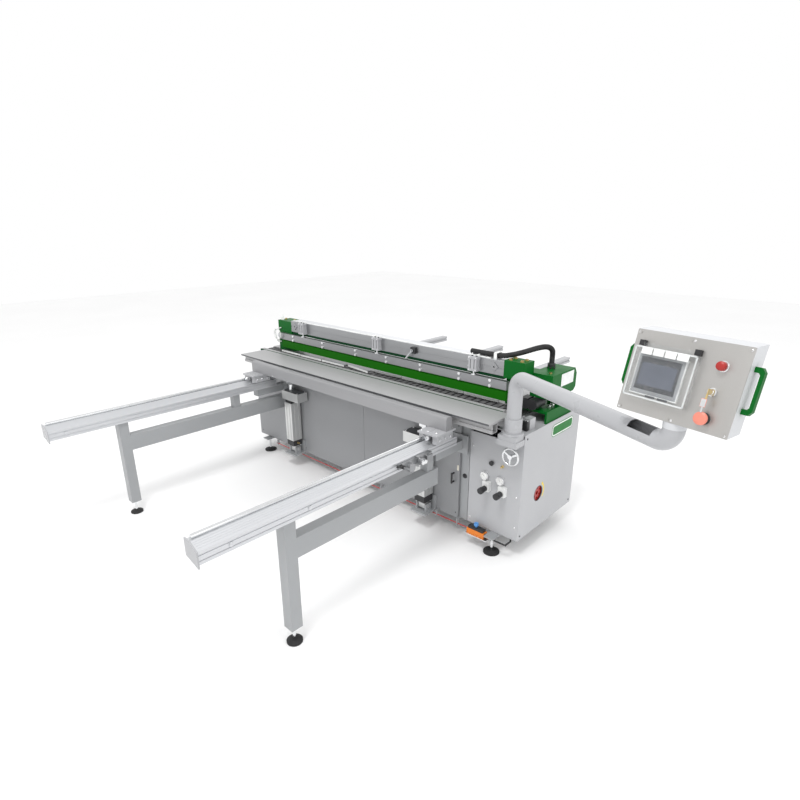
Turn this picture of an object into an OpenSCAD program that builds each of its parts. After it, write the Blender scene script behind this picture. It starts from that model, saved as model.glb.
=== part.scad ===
// Sheet butt-welding and bending machine: cabinet with a split work table,
// a clamp beam over the heated slot, two guide arms with a sliding gauge beam
// and an operator's box on a swivel arm.
// X runs along the machine, Y towards the rear, Z up from the floor.

/* [Cabinet] */
// Cabinet length
cab_l = 2540; // [2400:10:2700]
// Cabinet depth
cab_d = 652; // [600:2:700]
// Height of the cabinet's lower edge above the floor
cab_z0 = 116; // [100:1:130]
// Height of the side panels
cab_z1 = 767; // [760:1:767]
// Sheet thickness of the panels
sheet_t = 3; // [2:0.5:4]
// How far the front wall stands out before the end panel
wall_step = 19; // [10:1:24]

/* [Work table] */
// Height of the work surface
work_z = 850; // [846:1:856]
// Length of the tilting front table
table_l = 2360; // [2200:10:2360]
// Thickness of the table plates
plate_t = 10; // [6:1:12]

/* [Clamp beam] */
// Height of the beam's lower face
beam_z0 = 1018; // [1018:1:1030]
// Beam height
beam_h = 84; // [70:1:92]
// Beam depth
beam_d = 101; // [80:1:101]

/* [Guide arms] */
// Distance between the two guide arms
arm_gap = 1750; // [1600:10:1800]
// Where the guide arms end in front
arm_y0 = -1994; // [-2100:1:-1900]
// Height of the guide rails' top
rail_z1 = 722; // [716:1:722]

/* [Operator's box] */
// Width of the control box
box_w = 400; // [360:5:420]
// Height of the control box
box_h = 300; // [260:5:320]
// Depth of the control box
box_d = 85; // [80:1:100]
// Outside radius of the swivel arm's tube
tube_r = 39; // [36:0.5:42]
// Backward lean of the control panel
box_lean = 14; // [10:0.5:20]

/* [Hidden] */

$fn = 48;
eps = 0.01;
fit = 0.05;

// Middle of the whole machine's footprint, seen from the cabinet's middle
mid_x = 524.93;
mid_y = -410;

// Cabinet
cab_x = cab_l / 2;
wall_y = -cab_d / 2;
front_y = wall_y - wall_step;
end_panel_x0 = 922;
column_x0 = 862;
panel_split_x = 36;
flange_w = 20;

// Table group
table_x = -26;
table_y0 = -505;
table_y1 = -286;
tilt_y = -275;
table_z0 = 787;
bed_x1 = 1090;
slot_y0 = -241;
slot_y1 = -231;
insert_y1 = -150;
cover_h = 14;

// Guide arms
mech_x = -16;
arm_xs = [mech_x - arm_gap / 2, mech_x + arm_gap / 2];
rail_half = 43;
rail_z0 = 645;
rail_y1 = -435;
shaft_r = 10;
shaft_x = -30;
shaft_z = rail_z1 + 8;
leg_y = -1583;
leg_w = 60;
leg_z0 = 85;
low_z0 = 450;
low_z1 = 550;
low_ends = [-348, -585];
strut_ys = [-776, -647];
bracket_y0 = -600;
bracket_z0 = 590;

// Lift cylinders
lift_xs = [mech_x - 688, mech_x + 650];
lift_y = -403;
lift_pivot_z = 150;
rod_r = 20;
pin_r = 7;
ear_r = 12;
lug_hole_r = 24;
clevis_z = 768;
body_w = 92;
bore_r = 34;

// Gauge beam
gauge_x0 = -962;
gauge_x1 = 923;
gauge_y0 = -566;
gauge_y1 = -516;
gauge_z0 = 767;
gauge_z1 = 845;

// Clamp
beam_x0 = -965;
beam_x1 = 1018;
beam_y0 = -176;
beam_y1 = beam_y0 + beam_d;
bar_y0 = -206;
bar_y1 = -178;
bar_x0 = -1085;
bar_x1 = 1060;
bar_z0 = 948;
bar_z1 = 998;
jaw_x0 = -1062;
jaw_z0 = 884;
jaw_z1 = 938;
clamp_y = -192;
clamp_xs = [-795, 22, 826];
clamp_rod_r = 5;
bolt_xs = [-908, -545, -180, 124, 426, 732, 952];

// Post, swivel arm and box
post = [1208, -355];
post_z0 = 772;
arm_z = 1085;
arm_az = -25.05;
arm_len = 971;
bend_low = 64;
bend_top = 65;
arm_end_z = 1152;
face_pos = [2078, -767, 1323];
box_turn = -13;

// Front panel parts
reg_xs = [1055, 1160];
reg_z = 393;
gauge_shift = 19;
gauge_r = 25;
button_x = 1076;
button_z = 550;
wheel_c = [1222, -385, 649];
wheel_r = 53;
hole_y = -123;
hole_z = 348;
hole_r = 45;

// Rope
rope_y = -360;
rope_z = 92;
rope_x0 = -1012;
rope_x1 = 962;
knob_c = [1016, -366];
lead_r = 5;

// Conduit
conduit_r = 16;
gland = [1175, 82];

// ---------------------------------------------------------------- helpers

// Moves the cabinet's own frame so that the footprint's middle is the origin
module placed() {
    translate([-mid_x, -mid_y, 0]) children();
}

// Box given by its two corners
module block(a, b) {
    translate(a) cube(b - a);
}

// Cylinder along X, Y or Z from one end point
module rod_x(p, r, h) {
    translate(p) rotate([0, 90, 0]) cylinder(r = r, h = h);
}

module rod_y(p, r, h) {
    translate(p) rotate([-90, 0, 0]) cylinder(r = r, h = h);
}

module rod_z(p, r, h) {
    translate(p) cylinder(r = r, h = h);
}

// Rectangle with round corners, centred
module round_rect(w, h, r) {
    square([w - 2 * r, h], center = true);
    square([w, h - 2 * r], center = true);
    for (x = [-1, 1], y = [-1, 1])
        translate([x * (w / 2 - r), y * (h / 2 - r)]) circle(r);
}

// Extrudes a YZ outline along X
module along_x(x0, x1) {
    translate([x0, 0, 0]) rotate([90, 0, 90]) linear_extrude(x1 - x0) children();
}

// Extrudes an XZ outline along +Y
module along_y(y0, y1) {
    translate([0, y1, 0]) rotate([90, 0, 0]) linear_extrude(y1 - y0) children();
}

// Upright sheet panel facing -Y with folded side flanges
module front_sheet(x0, x1, z0, z1, y) {
    block([x0, y, z0], [x1, y + sheet_t, z1]);
    block([x0, y, z0], [x0 + sheet_t, y + flange_w, z1]);
    block([x1 - sheet_t, y, z0], [x1, y + flange_w, z1]);
}

// ---------------------------------------------------------------- cabinet

module side_sheet(x0, x1, y0, with_hole) {
    difference() {
        block([x0, y0, cab_z0], [x1, cab_d / 2, cab_z1]);
        if (with_hole) rod_x([x0 - 1, hole_y, hole_z], hole_r, sheet_t + 2);
    }
}

module side_panel_left() {
    color("#d5d6d8") placed() side_sheet(-cab_x, -cab_x + sheet_t, front_y, false);
}

module side_panel_right() {
    color("#d8d9db") placed() side_sheet(cab_x - sheet_t, cab_x, wall_y, true);
}

module front_panel_left() {
    color("#a9abad") placed()
        front_sheet(-cab_x + sheet_t, panel_split_x - 1, cab_z0, 760, front_y);
}

module front_panel_centre() {
    color("#a9abad") placed()
        front_sheet(panel_split_x + 1, column_x0, cab_z0, 760, front_y);
}

module front_panel_right() {
    color("#c3c4c8") placed() difference() {
        front_sheet(end_panel_x0, cab_x - sheet_t, cab_z0, 708, wall_y);
        for (x = reg_xs) rod_y([x, wall_y - 1, reg_z], 12, sheet_t + 2);
        rod_y([wheel_c[0], wall_y - 1, wheel_c[2]], 8 + fit, sheet_t + 2);
        rod_y([button_x, wall_y - 1, button_z], 9, sheet_t + 2);
    }
}

module rear_panel() {
    color("#d0d1d3") placed() difference() {
        block([-cab_x + sheet_t, cab_d / 2 - sheet_t, cab_z0],
              [cab_x - sheet_t, cab_d / 2, cab_z1 - 4]);
        for (x = [-900, 900], k = [0:4])
            block([x - 70, cab_d / 2 - 5, 240 + 22 * k], [x + 70, cab_d / 2 + 1, 248 + 22 * k]);
    }
}

module end_deck() {
    color("#e2e3e4") placed() {
        difference() {
            block([bed_x1 + 2, wall_y + 2, cab_z1 - 7],
                  [cab_x - sheet_t - 1, cab_d / 2 - sheet_t - 1, cab_z1 - 3]);
            rod_z([post[0], post[1], cab_z1 - 8], 50, 10);
        }
        // limit switch and its fittings on the deck
        block([1203, -236, cab_z1 - 3], [1242, -178, 828]);
        block([1172, -226, cab_z1 - 3], [1196, -190, 812]);
        rod_z([1184, -208, 812], 8, 14);
    }
}

module base_frame() {
    color("#8f9194") placed() {
        block([-cab_x + 6, wall_y + flange_w, cab_z0 + 1], [cab_x - 6, cab_d / 2 - 6, cab_z0 + 7]);
        for (y = [wall_y + 24, cab_d / 2 - 64])
            block([-cab_x + 6, y, cab_z0 + 7], [cab_x - 6, y + 40, cab_z0 + 47]);
        // upright corner column beside the end panel
        block([column_x0 + 2, wall_y - 3, cab_z0 + 1], [end_panel_x0 - 2, wall_y + 24, 740]);
        // bearing plate of the drive behind the side opening
        difference() {
            block([1138, hole_y - 60, cab_z0 + 7 - eps], [1148, hole_y + 60, hole_z + 60]);
            rod_x([1137, hole_y, hole_z], 18 + fit, 12);
        }
        // outriggers that carry the front feet
        for (x = [-1125, 1125])
            block([x - 32, front_y - 55, cab_z0 - 9], [x + 32, wall_y + 60, cab_z0 - 1]);
        for (x = [-1125, 1125])
            block([x - 30, wall_y + flange_w, cab_z0 - 1 - eps], [x + 30, wall_y + 50, cab_z0 + 1 + eps]);
        for (x = [-1125, 1125])
            block([x - 55, 245, cab_z0 - 9], [x + 55, 315, cab_z0 + 1 + eps]);
    }
}

// One levelling foot: pad, stud and nut
module foot(x, y, pad_r, top) {
    translate([x, y, 0]) {
        cylinder(r = pad_r, h = 9);
        translate([0, 0, 9 - eps]) cylinder(r1 = pad_r, r2 = pad_r * 0.55, h = 9);
        translate([0, 0, 17]) cylinder(r = 8, h = top - 17);
        translate([0, 0, top - 13]) cylinder(r = 15, h = 12, $fn = 6);
    }
}

module levelling_feet() {
    color("#26272a") placed() {
        for (x = [-1125, 1125]) foot(x, -358, 48, cab_z0 - 9);
        for (x = [-1125, 1125]) foot(x, 280, 48, cab_z0 - 9);
        for (x = arm_xs) foot(x, leg_y, 38, leg_z0);
    }
}

// ---------------------------------------------------------------- fixed bed

module fixed_bed() {
    color("#d7dada") placed() {
        for (x = [-cab_x, bed_x1 - 12])
            block([x, slot_y0 - 5, cab_z1], [x + 12, slot_y1 + 6, work_z - 26]);
        bed_profile();
    }
}

module bed_profile() {
    along_x(-cab_x, bed_x1) {
        translate([tilt_y, work_z - plate_t]) square([slot_y0 - tilt_y, plate_t]);
        translate([tilt_y, cab_z1]) square([8, work_z - cab_z1]);
        translate([tilt_y - 8, work_z - 14]) square([8 + eps, 13]);
        translate([slot_y0 - 5, cab_z1 + 20]) square([5, work_z - cab_z1 - 20]);
        translate([tilt_y, cab_z1]) square([slot_y0 - tilt_y, 6]);
        translate([slot_y0 - 5, cab_z1]) square([5, 24]);
        // rear part of the bed, behind the slot
        translate([slot_y1, cab_z1]) square([6, work_z - cab_z1 - 24]);
        translate([slot_y1, work_z - 26]) square([insert_y1 - slot_y1, 6]);
        translate([insert_y1 - 6, work_z - 26]) square([6, 26]);
        translate([insert_y1 - 6, work_z - plate_t]) square([cab_d / 2 - insert_y1 + 6, plate_t]);
        translate([cab_d / 2 - 8, cab_z1]) square([8, work_z - cab_z1]);
        translate([slot_y1, cab_z1]) square([cab_d / 2 - slot_y1, 6]);
        translate([60, cab_z1]) square([6, work_z - cab_z1]);
    }
}

// Ribbed black strip that fills the bed behind the slot
module slot_insert() {
    rib = 24;
    color("#2a2529") placed() difference() {
        block([-cab_x + 30, slot_y1 + 1, work_z - 20], [bed_x1 - 30, insert_y1 - 7, work_z - 2]);
        for (x = [-1230 : 2 * rib : 1050])
            block([x, slot_y1, work_z - 6], [x + rib / 2, insert_y1, work_z]);
    }
}

// Loose cover strips lying over the slot; the fifth one lies askew
module slot_covers() {
    pitch = 256;
    fronts = [-160, -157, -164, -166, -208, -221, -224, -222];
    turns = [0.5, 0, 1.5, 1, -8, 0.7, 1, 0];
    color("#bfc1c4") placed() for (k = [0:7])
        translate([990 - (k + 0.5) * pitch, fronts[k], work_z + 0.2]) rotate([0, 0, turns[k]]) {
            translate([-pitch / 2 + 5, 0, 0]) cube([pitch - 10, 3, cover_h]);
            translate([-pitch / 2 + 5, 0, cover_h - 3]) cube([pitch - 10, 34, 3]);
        }
}

module heating_blade() {
    color("#8d8f92") placed() {
        block([-1200, slot_y0 + 2, 700], [1040, slot_y1 - 2, work_z - 4]);
        block([-1200, slot_y0 - 12, 686], [1040, slot_y1 + 12, 700 + eps]);
    }
}

module rear_arm(x) {
    color("#d9dadb") placed() {
        difference() {
            block([x - 25, cab_d / 2 + 1, work_z - 40], [x + 25, 1180, work_z]);
            for (s = [-1, 1])
                block([x + s * 25 - 6, cab_d / 2, work_z - 25], [x + s * 25 + 6, 1181, work_z - 15]);
        }
        // gusset and wall plate
        along_x(x - 4, x + 4) polygon([
            [cab_d / 2 + 1, 560], [cab_d / 2 + 30, 560],
            [760, work_z - 40 + eps], [cab_d / 2 + 1, work_z - 40 + eps]]);
        block([x - 40, cab_d / 2 + 0.5, 550], [x + 40, cab_d / 2 + 8, work_z - 40 + eps]);
    }
}

module rear_arm_left() { rear_arm(-465); }
module rear_arm_middle() { rear_arm(143); }
module rear_arm_right() { rear_arm(751); }

// ---------------------------------------------------------------- guide arms

// Extruded rail with its round shaft, end cap and side plugs
module arm_rail(x, plugs) {
    color("#e4e5e7") placed() translate([x, 0, 0]) {
        difference() {
            along_y(arm_y0, rail_y1) polygon([
                [-rail_half, rail_z0], [rail_half, rail_z0], [rail_half, rail_z1 - 24],
                [rail_half - 8, rail_z1 - 22], [-12, rail_z1], [-rail_half, rail_z1]]);
            along_y(arm_y0 - 1, rail_y1 + 1) translate([0, rail_z0 + 28]) square([70, 40], center = true);
            for (z = [rail_z0 + 14, rail_z0 + 38])
                block([rail_half - 3, arm_y0 - 1, z], [rail_half + 1, rail_y1 + 1, z + 5]);
        }
        block([shaft_x - 3, arm_y0 + 12, rail_z1 - eps], [shaft_x + 3, rail_y1, shaft_z]);
        rod_y([shaft_x, arm_y0 + 12, shaft_z], shaft_r, rail_y1 - arm_y0 - 12);
        // front end cap
        along_y(arm_y0 - 6, arm_y0 + eps) polygon([
            [-rail_half - 3, rail_z0 + 8], [rail_half + 3, rail_z0 - 14], [rail_half + 3, rail_z1 - 18],
            [-8, rail_z1 + 8], [-rail_half - 3, rail_z1 + 8]]);
        for (y = plugs) rod_x([rail_half - eps, y, rail_z0 + 28], 10, 4);
        // foot plate that fixes the inner end to the bracket
        block([-30, rail_y1 - 60, rail_z0 - eps], [30, rail_y1, rail_z0 + 6]);
    }
}

module arm_rail_left() { arm_rail(arm_xs[0], [-1905, -1500, -1020]); }
module arm_rail_right() { arm_rail(arm_xs[1], [-1860, -1480]); }

// Square leg, lower beam, strut and wall bracket welded together
module arm_frame(x, low_end, strut_y) {
    half = leg_w / 2;
    color("#c9cacc") placed() translate([x, 0, 0]) {
        difference() {
            block([-half, leg_y - half, leg_z0], [half, leg_y + half, rail_z0 - 0.5]);
            block([-half + 4, leg_y - half + 4, leg_z0 + 8], [half - 4, leg_y + half - 4, low_z0 - 6]);
        }
        difference() {
            block([-half, leg_y + half - eps, low_z0], [half, low_end, low_z1]);
            block([-half + 4, leg_y + half + 8, low_z0 + 4], [half - 4, low_end + 1, low_z1 - 4]);
        }
        block([-half + 5, strut_y - 25, low_z1 - eps], [half - 5, strut_y + 25, rail_z0 - 0.5]);
        block([-26, bracket_y0, bracket_z0], [26, front_y - 8, rail_z0 - 0.5]);
        block([-60, front_y - 8.01, bracket_z0 - 30], [60, front_y - 0.5, rail_z0 + 30]);
    }
}

module arm_frame_left() { arm_frame(arm_xs[0], low_ends[0], strut_ys[0]); }
module arm_frame_right() { arm_frame(arm_xs[1], low_ends[1], strut_ys[1]); }

// ---------------------------------------------------------------- lift cylinders

// Wall brackets, each with two ears for the cylinder's lower pivot
module lift_brackets() {
    color("#9a9c9f") placed() for (x = lift_xs) difference() {
        union() {
            block([x - 62, lift_y - 55, lift_pivot_z - 40], [x + 62, front_y - 0.5, lift_pivot_z - 30]);
            for (s = [-1, 1])
                block([x + s * 36 - 6, lift_y - 24, lift_pivot_z - 30 - eps],
                      [x + s * 36 + 6, lift_y + 24, lift_pivot_z + 18]);
            block([x - 62, front_y - 10, lift_pivot_z - 40], [x + 62, front_y - 0.5, lift_pivot_z + 60]);
        }
        rod_x([x - 60, lift_y, lift_pivot_z], 10, 120);
    }
}

// Cylinder tube with heads, guide block and the pin of the lower pivot;
// the guide block reaches further out on its inner side
module lift_cylinder(x, inner) {
    half = body_w / 2;
    head = half - 6;
    color("#b9bab8") placed() translate([x, lift_y, 0]) difference() {
        union() {
            translate([-28, -16, lift_pivot_z - 16]) cube([56, 32, 50]);
            rod_x([-44, 0, lift_pivot_z], 10 - fit, 88);
            block([-head, -head, 184], [head, head, 229]);
            block([4 - half, 4 - half, 229 - eps], [half - 4, half - 4, 535]);
            block([4 - head, 4 - head, 535 - eps], [head - 4, head - 4, 562]);
            translate([inner * 37, 0, 0]) block([-97, -half, 562 - eps], [97, half, 630]);
        }
        translate([0, 0, 247]) cylinder(r = bore_r, h = 282);
        translate([0, 0, 525]) cylinder(r = rod_r + fit, h = 120);
        for (s = [-1, 1], t = [-18, 18])
            translate([s * (half - 4) - 3, t - 4, 236]) cube([6, 8, 292]);
        for (s = [-1, 1], t = [-18, 18])
            translate([t - 4, s * (half - 4) - 3, 236]) cube([8, 6, 292]);
    }
}

module lift_cylinder_left() { lift_cylinder(lift_xs[0], 1); }
module lift_cylinder_right() { lift_cylinder(lift_xs[1], -1); }

// Piston rod with its fork and pin
module lift_rod(x) {
    color("#c8c9ca") placed() translate([x, lift_y, 0]) {
        translate([0, 0, 300]) cylinder(r = rod_r, h = 385);
        translate([0, 0, 290]) cylinder(r = bore_r - 1, h = 20);
        translate([-26, -20, 680]) cube([52, 40, 22]);
        for (s = [-1, 1]) {
            translate([s * 18 - 6, -ear_r, 701]) cube([12, 2 * ear_r, clevis_z - 701]);
            rod_x([s * 18 - 6, 0, clevis_z], ear_r, 12);
        }
        rod_x([-30, 0, clevis_z], pin_r, 60);
    }
}

module lift_rod_left() { lift_rod(lift_xs[0]); }
module lift_rod_right() { lift_rod(lift_xs[1]); }

// ---------------------------------------------------------------- front table

module front_table() {
    x0 = table_x - table_l / 2;
    x1 = table_x + table_l / 2;
    rail_h = work_z - plate_t - table_z0;
    color("#c4c6c7") placed() {
        difference() {
            along_x(x0, x1) {
                translate([table_y0, work_z - plate_t]) square([table_y1 - table_y0, plate_t]);
                translate([-470, table_z0]) square([46, rail_h + eps]);
                translate([-476, table_z0]) square([10, 20]);
                translate([-340, table_z0]) square([46, rail_h + eps]);
            }
            along_x(x0 - 1, x1 + 1) {
                translate([-467, table_z0 + 3]) square([40, rail_h - 6]);
                translate([-337, table_z0 + 3]) square([40, rail_h - 6]);
            }
        }
        // cross ribs between the two rails
        for (x = [-1000, -18, 960])
            block([x - 5, -425, table_z0 + 6], [x + 5, -339, work_z - plate_t + eps]);
        // lugs for the lift rods, each with a wide hole
        for (x = lift_xs) difference() {
            block([x - 6, lift_y - 34, clevis_z - 31], [x + 6, lift_y + 36, work_z - plate_t + eps]);
            rod_x([x - 7, lift_y, clevis_z], lug_hole_r, 14);
        }
    }
}

// ---------------------------------------------------------------- gauge beam

module gauge_beam() {
    h = gauge_z1 - gauge_z0;
    w = gauge_y1 - gauge_y0;
    color("#cfd1d3") placed() translate([0, (gauge_y0 + gauge_y1) / 2, gauge_z0 + h / 2]) difference() {
        along_x(gauge_x0, gauge_x1) union() {
            round_rect(w, h, 12);
            translate([-w / 2, -h / 2]) square([w, h / 2]);
        }
        along_x(gauge_x0 + 4, gauge_x1 - 4) square([w - 8, h - 16], center = true);
    }
}

// Carriage on the round shaft, with the plate that carries the gauge beam
module carriage(x) {
    color("#e8e9ea") placed() translate([x, 0, 0]) {
        difference() {
            union() {
                block([-64, -640, shaft_z - 6], [4, -500, shaft_z + 27]);
                block([-64, -655, shaft_z + 26.99], [70, -488, gauge_z0 - 0.2]);
                block([30, -640, rail_z1 - 14], [60, -500, shaft_z + 27]);
            }
            rod_y([shaft_x, -660, shaft_z], shaft_r + fit, 200);
            block([shaft_x - 8, -660, shaft_z - 20], [shaft_x + 8, -470, shaft_z]);
        }
        // sealed end rings of the bearing
        for (y = [-646, -500]) difference() {
            rod_y([shaft_x, y, shaft_z], 18, 6);
            rod_y([shaft_x, y - 1, shaft_z], shaft_r + 0.3, 8);
            block([shaft_x - 8, y - 1, shaft_z - 24], [shaft_x + 8, y + 7, shaft_z]);
            block([shaft_x - 20, y - 1, shaft_z - 24], [shaft_x + 20, y + 7, shaft_z - 6]);
        }
    }
}

module carriage_left() { carriage(arm_xs[0]); }
module carriage_right() { carriage(arm_xs[1]); }

// Stop unit on the outer side of the right rail
module stop_block() {
    x = arm_xs[1] + rail_half;
    color("#b4b6b8") placed() {
        block([x + 0.5, -800, 640], [x + 26, -690, 694]);
        block([x + 26 - eps, -745, 646], [x + 40, -700, 688]);
        rod_x([x + 26 - eps, -776, 666], 20, 16);
        rod_x([x + 0.5, -848, 652], 23, 30);
        block([x + 0.5, -930, 660], [x + 10, -798, 690]);
        // pivot of the locking lever
        rod_x([x + 10 - eps, -912, 676], 4 - fit, 24);
    }
}

module stop_lever() {
    x = arm_xs[1] + rail_half;
    color("#1b1c1e") placed() difference() {
        union() {
            rod_x([x + 10.5, -912, 676], 11, 19);
            translate([x + 18, -912, 676]) rotate([70, 0, 0]) translate([0, -5, 0]) cube([10, 10, 46]);
        }
        rod_x([x + 9, -912, 676], 4, 30);
    }
}

// ---------------------------------------------------------------- clamp beam

module clamp_beam() {
    color("#c2c3c6") placed() {
        along_x(beam_x0, beam_x1) translate([beam_y0, beam_z0]) difference() {
            square([beam_d, beam_h]);
            translate([6, 6]) square([beam_d - 12, beam_h - 12]);
            translate([-1, beam_h * 0.48]) square([3, 4]);
        }
        // channel under the beam
        block([beam_x0 + 2, beam_y0 + 6, bar_z1], [beam_x1 - 2, beam_y1 - 6, beam_z0 + eps]);
        // two square plates and the latch's body on the front face
        for (x = [-916, 956]) translate([x, beam_y0 + eps, beam_z0 + 44]) rotate([90, 45, 0])
            difference() {
                translate([-19, -19, 0]) cube([38, 38, 5]);
                cylinder(r = 6, h = 20, center = true);
            }
        // clip that holds the conduit
        for (y = [-152, -109]) block([934, y, beam_z0 + beam_h - eps], [950, y + 5, 1128]);
        rod_y([348, beam_y0 - 18, 1066], 20, 18 + eps);
        block([328, beam_y0 - 18, 1046], [368, beam_y0 + eps, 1086]);
        rod_y([348, beam_y0 - 30, 1066], 4 - fit, 13);
    }
}

module latch_lever() {
    color("#b8bbbf") placed() difference() {
        union() {
            rod_y([348, beam_y0 - 30, 1066], 10, 11.5);
            translate([348, beam_y0 - 24, 1066]) rotate([0, 222, 0]) translate([-5, -4, 6]) cube([10, 5, 70]);
        }
        rod_y([348, beam_y0 - 31, 1066], 4, 14);
    }
}

module end_block_left() {
    color("#1f7a34") placed() difference() {
        block([beam_x0 - 176, beam_y0, work_z], [beam_x0 - 0.2, -55, 1092]);
        block([beam_x0 - 130, beam_y0 + 22, work_z - 1], [beam_x0 - 40, -54, 1020]);
        for (x = [-1110, -1000]) rod_z([x, -115, 1070], 7, 30);
    }
}

module end_block_right() {
    color("#1f7a34") placed() difference() {
        union() {
            block([beam_x1 + 0.2, beam_y0, 1010], [beam_x1 + 133, -76, 1112]);
            block([beam_x1 + 0.2, beam_y0 + 36, work_z], [beam_x1 + 32, -76, 1010 + eps]);
        }
        for (x = [1050, 1120], y = [-150, -100]) rod_z([x, y, 1095], 6, 30);
    }
}

module clamp_bar() {
    color("#b9b9bd") placed() difference() {
        block([bar_x0, bar_y0, bar_z0], [bar_x1, bar_y1, bar_z1]);
        for (x = bolt_xs, z = [bar_z0 + 9, bar_z1 - 9]) rod_y([x, bar_y0 - 1, z], 5, 20);
    }
}

module clamp_jaw() {
    color("#2f8f1f") placed() {
        block([jaw_x0, bar_y0 + 1, jaw_z0], [bar_x1, bar_y1, jaw_z1]);
        block([jaw_x0, bar_y0 + 10, jaw_z1 - eps], [bar_x1, bar_y1, bar_z0 - 0.1]);
    }
}

module clamp_bolts() {
    color("#f2f2f2") placed() for (x = bolt_xs, z = [bar_z0 + 9, bar_z1 - 9]) {
        rod_y([x, bar_y0 - 7, z], 9, 7 - eps);
        rod_y([x, bar_y0 - 1, z], 5 - fit, 18);
    }
}

module clamp_cylinders() {
    color("#efefef") placed() for (x = clamp_xs) difference() {
        union() {
            block([x - 27, clamp_y - 19, beam_z0 + 2], [x + 27, beam_y0 - 0.1, beam_z0 + 88]);
            for (z = [beam_z0 + 2, beam_z0 + 74])
                block([x - 31, clamp_y - 21, z], [x + 31, beam_y0 - 0.1, z + 14]);
            for (z = [beam_z0 + 24, beam_z0 + 62]) rod_x([x - 44, clamp_y, z], 6, 18);
        }
        rod_z([x, clamp_y, beam_z0 + 12], 13, 62);
        rod_z([x, clamp_y, beam_z0 - 1], clamp_rod_r + fit, 30);
    }
}

module clamp_rods() {
    color("#d8d8d8") placed() for (x = clamp_xs) {
        rod_z([x, clamp_y, bar_z1 + 0.1], clamp_rod_r, 62);
        rod_z([x, clamp_y, beam_z0 + 42], 12.9, 8);
        rod_z([x, clamp_y, bar_z1 + 0.1], 18, 7);
    }
}

// ---------------------------------------------------------------- drive end

module drive_housing() {
    z0 = 905;
    z1 = 1043;
    color("#1e7d37") placed() {
        difference() {
            union() {
                along_x(1137, cab_x) polygon([[-75, z0], [196, z0], [220, z0 + 20],
                    [220, z1 - 34], [196, z1], [-75, z1]]);
                block([1046, -75, z0 + 62], [1137 + eps, 22, z1]);
            }
            along_x(1143, cab_x - 6) polygon([[-69, z0 + 6], [190, z0 + 6], [212, z0 + 24],
                [212, z1 - 36], [190, z1 - 6], [-69, z1 - 6]]);
        }
        // bracket plate with its web and cap screws
        block([1110, -90, 822], [1262, 215, 836]);
        block([1250, -90, cab_z1 - 2.9], [1262, 215, 822 + eps]);
        block([1110, 195, cab_z1 - 2.9], [1262, 215, 836]);
        block([1180, 60, 836 - eps], [1250, 205, z0 + eps]);
        for (y = [0, 40]) rod_z([1226, y, 836 - eps], 11, 10);
        // gland of the conduit on the housing's top
        difference() {
            rod_z([gland[0], gland[1], z1 - eps], 22, 28);
            rod_z([gland[0], gland[1], z1 + 10], conduit_r + 0.4, 30);
        }
    }
}

module drive_motor() {
    color("#1c1d20") placed() {
        rod_y([1178, -122, 870], 33, 104);
        rod_y([1178, -18.01, 870], 12, 34);
        block([1106, -118, 837], [1150, -44, 900]);
    }
}

// Coupling behind the side opening, turned by hand through it
module drive_coupling() {
    color("#a02c22") placed() difference() {
        union() {
            rod_x([1222, hole_y, hole_z], 52, 40);
            rod_x([1130, hole_y, hole_z], 18, 92 + eps);
        }
        translate([1246, hole_y, hole_z]) rotate([0, 90, 0]) cylinder(r = 14, h = 30, $fn = 6);
        for (a = [0:60:300]) translate([1250, hole_y, hole_z]) rotate([a, 0, 0]) rod_x([0, 0, 31], 7, 20);
    }
}

// Black conduit from the beam's top over to the drive housing, swept ring by ring
module beam_conduit() {
    route = [[760, -128], [830, -128], [900, -128], [950, -127], [990, -121], [1030, -104],
             [1065, -76], [1095, -42], [1120, -4], [1141, 30], [1157, 55], [1168, 70], [1174, 79],
             [1175, 82], [1175, 82], [1175, 82]];
    heights = [1118.4, 1118.4, 1118.6, 1119.4, 1123, 1133, 1144, 1156, 1166, 1171, 1169, 1160, 1146,
               1127, 1106, 1054];
    centres = [for (k = [0 : len(route) - 1]) concat(route[k], heights[k])];
    color("#1d1e20") placed() sweep_tube(centres, conduit_r, 12);
}

// Round tube of n sides along a list of centres, its rings square to the path
module sweep_tube(c, r, n) {
    last = len(c) - 1;
    dirs = [for (k = [0 : last]) c[min(k + 1, last)] - c[max(k - 1, 0)]];
    pts = [for (k = [0 : last]) let (d = dirs[k] / norm(dirs[k]),
                                     u = cross(d, [0.6, -0.8, 0]) / norm(cross(d, [0.6, -0.8, 0])),
                                     v = cross(d, u))
        for (a = [0 : n - 1]) c[k] + r * (cos(a * 360 / n) * u + sin(a * 360 / n) * v)];
    sides = [for (k = [0 : last - 1], a = [0 : n - 1])
        [k * n + a, k * n + (a + 1) % n, (k + 1) * n + (a + 1) % n, (k + 1) * n + a]];
    caps = [[for (a = [n - 1 : -1 : 0]) a], [for (a = [0 : n - 1]) last * n + a]];
    polyhedron(pts, concat(sides, caps), convexity = 4);
}

// ---------------------------------------------------------------- safety rope

module rope_posts() {
    color("#c9cacc") placed() for (x = [-1000, -790, -168, 217, 714, 874]) {
        block([x - 8, rope_y - 2, cab_z0 + 4], [x + 8, front_y - 0.2, cab_z0 + 10]);
        difference() {
            block([x - 3, rope_y - 10, rope_z - 10], [x + 3, rope_y + 10, cab_z0 + 10]);
            rod_x([x - 4, rope_y, rope_z], 4, 8);
        }
    }
}

module pull_rope() {
    color("#b5262c") placed() {
        rod_x([rope_x0, rope_y, rope_z], 3, rope_x1 - rope_x0);
        // ferrule that stops the rope behind the last eyelet
        rod_x([rope_x0 - 4, rope_y, rope_z], 6, 12);
    }
}

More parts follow.
